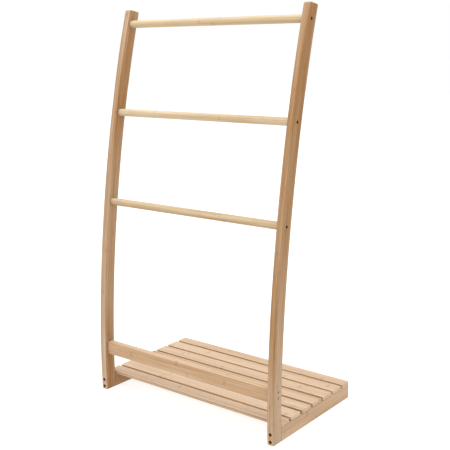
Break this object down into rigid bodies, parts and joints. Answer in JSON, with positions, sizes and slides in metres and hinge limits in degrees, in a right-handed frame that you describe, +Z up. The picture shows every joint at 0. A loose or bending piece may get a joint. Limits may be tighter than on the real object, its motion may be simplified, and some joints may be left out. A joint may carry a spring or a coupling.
{
  "type": "towel rack",
  "caption": "Free-standing wooden towel rack: curved uprights leaning back over a low slatted shelf, joined by round rungs and a flat cross rail.",
  "frame": {"origin": "centre of the rack's footprint, on the floor", "axes": "+X runs along the rungs, across the rack; +Y runs from the foot of the uprights to the far end of the shelf; +Z is up"},
  "size_m": [0.566, 0.3524, 1.0066],
  "materials": {
    "upright_bamboo": "satin oiled bamboo, laminated in strips",
    "rail_bamboo": "satin oiled bamboo",
    "slat_bamboo": "satin oiled bamboo, pale",
    "rung_bamboo": "satin oiled bamboo, pale",
    "dark_steel": "dark bronze-coloured screws",
    "pale_steel": "zinc-plated screws"
  },
  "bodies": {
    "root": {"cross_rail": "rail_bamboo", "left_cross_rail_lower_screw": "pale_steel", "left_cross_rail_upper_screw": "pale_steel", "left_foot_lower_screw": "dark_steel", "left_foot_upper_screw": "dark_steel", "left_lower_rung_screw": "dark_steel", "left_middle_rung_screw": "dark_steel", "left_side_rail": "rail_bamboo", "left_slat_1_screw": "pale_steel", "left_slat_2_screw": "pale_steel", "left_slat_3_screw": "pale_steel", "left_slat_4_screw": "pale_steel", "left_slat_5_screw": "pale_steel", "left_slat_6_screw": "pale_steel", "left_slat_7_screw": "pale_steel", "left_top_rung_screw": "dark_steel", "left_upright": "upright_bamboo", "lower_rung": "rung_bamboo", "middle_rung": "rung_bamboo", "right_cross_rail_lower_screw": "pale_steel", "right_cross_rail_upper_screw": "pale_steel", "right_foot_lower_screw": "dark_steel", "right_foot_upper_screw": "dark_steel", "right_lower_rung_screw": "dark_steel", "right_middle_rung_screw": "dark_steel", "right_side_rail": "rail_bamboo", "right_slat_1_screw": "pale_steel", "right_slat_2_screw": "pale_steel", "right_slat_3_screw": "pale_steel", "right_slat_4_screw": "pale_steel", "right_slat_5_screw": "pale_steel", "right_slat_6_screw": "pale_steel", "right_slat_7_screw": "pale_steel", "right_top_rung_screw": "dark_steel", "right_upright": "upright_bamboo", "slat_1": "slat_bamboo", "slat_2": "slat_bamboo", "slat_3": "slat_bamboo", "slat_4": "slat_bamboo", "slat_5": "slat_bamboo", "slat_6": "slat_bamboo", "slat_7": "slat_bamboo", "top_rung": "rung_bamboo"}
  },
  "joints": []
}
